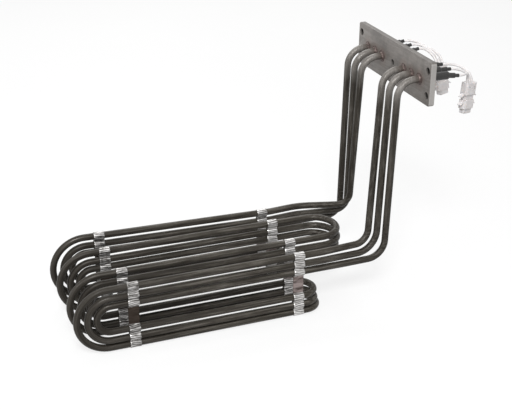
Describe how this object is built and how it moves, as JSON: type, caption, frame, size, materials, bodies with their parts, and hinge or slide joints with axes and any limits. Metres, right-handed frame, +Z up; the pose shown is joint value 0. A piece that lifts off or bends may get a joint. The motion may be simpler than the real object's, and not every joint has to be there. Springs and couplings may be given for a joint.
{
  "type": "tubular heating element",
  "caption": "Flanged tubular heating element: steel-sheathed rods folded into a low banded coil under tall risers, with sleeved splices and plug-ended lead wires behind the flange.",
  "frame": {"origin": "middle of the flange's seating face, on the side of the coil, at the centre of the middle hole's mouth", "axes": "+X out of the back of the flange towards the sleeves and plugs, +Y along the flange towards the coil's back row, +Z up from the coil to the flange"},
  "size_m": [0.4921, 0.178, 0.299],
  "materials": {
    "rod_sheath": "heat-darkened satin",
    "flange_steel": "matte, scoured",
    "braze_metal": "dull, heat tinted",
    "band_steel": "bright, with a heat-tinted web",
    "seal_rubber": "matte",
    "pin_steel": "satin",
    "tinned_metal": "satin, tinned",
    "shrink_sleeve": "satin black",
    "wire_insulation": "semi-gloss, slightly clear",
    "plug_nylon": "satin, slightly clear"
  },
  "bodies": {
    "root": {"band_back_heel": "band_steel", "band_back_toe": "band_steel", "band_front_heel": "band_steel", "band_front_toe": "band_steel", "band_mid_back_heel": "band_steel", "band_mid_back_toe": "band_steel", "band_mid_front_heel": "band_steel", "band_mid_front_toe": "band_steel", "braze_back_inner": "braze_metal", "braze_back_middle": "braze_metal", "braze_back_outer": "braze_metal", "braze_front_inner": "braze_metal", "braze_front_middle": "braze_metal", "braze_front_outer": "braze_metal", "contact_back_inner": "tinned_metal", "contact_back_middle": "tinned_metal", "contact_back_outer": "tinned_metal", "contact_front_inner": "tinned_metal", "contact_front_middle": "tinned_metal", "contact_front_outer": "tinned_metal", "flange_plate": "flange_steel", "heater_inner": "rod_sheath", "heater_middle": "rod_sheath", "heater_outer": "rod_sheath", "lead_back_inner": "wire_insulation", "lead_back_middle": "wire_insulation", "lead_back_outer": "wire_insulation", "lead_front_inner": "wire_insulation", "lead_front_middle": "wire_insulation", "lead_front_outer": "wire_insulation", "pin_back_inner": "pin_steel", "pin_back_middle": "pin_steel", "pin_back_outer": "pin_steel", "pin_front_inner": "pin_steel", "pin_front_middle": "pin_steel", "pin_front_outer": "pin_steel", "plug_back": "plug_nylon", "plug_front": "plug_nylon", "seal_back_inner": "seal_rubber", "seal_back_middle": "seal_rubber", "seal_back_outer": "seal_rubber", "seal_front_inner": "seal_rubber", "seal_front_middle": "seal_rubber", "seal_front_outer": "seal_rubber", "sleeve_back_inner": "shrink_sleeve", "sleeve_back_middle": "shrink_sleeve", "sleeve_back_outer": "shrink_sleeve", "sleeve_front_inner": "shrink_sleeve", "sleeve_front_middle": "shrink_sleeve", "sleeve_front_outer": "shrink_sleeve", "splice_back_inner": "tinned_metal", "splice_back_middle": "tinned_metal", "splice_back_outer": "tinned_metal", "splice_front_inner": "tinned_metal", "splice_front_middle": "tinned_metal", "splice_front_outer": "tinned_metal"}
  },
  "joints": []
}
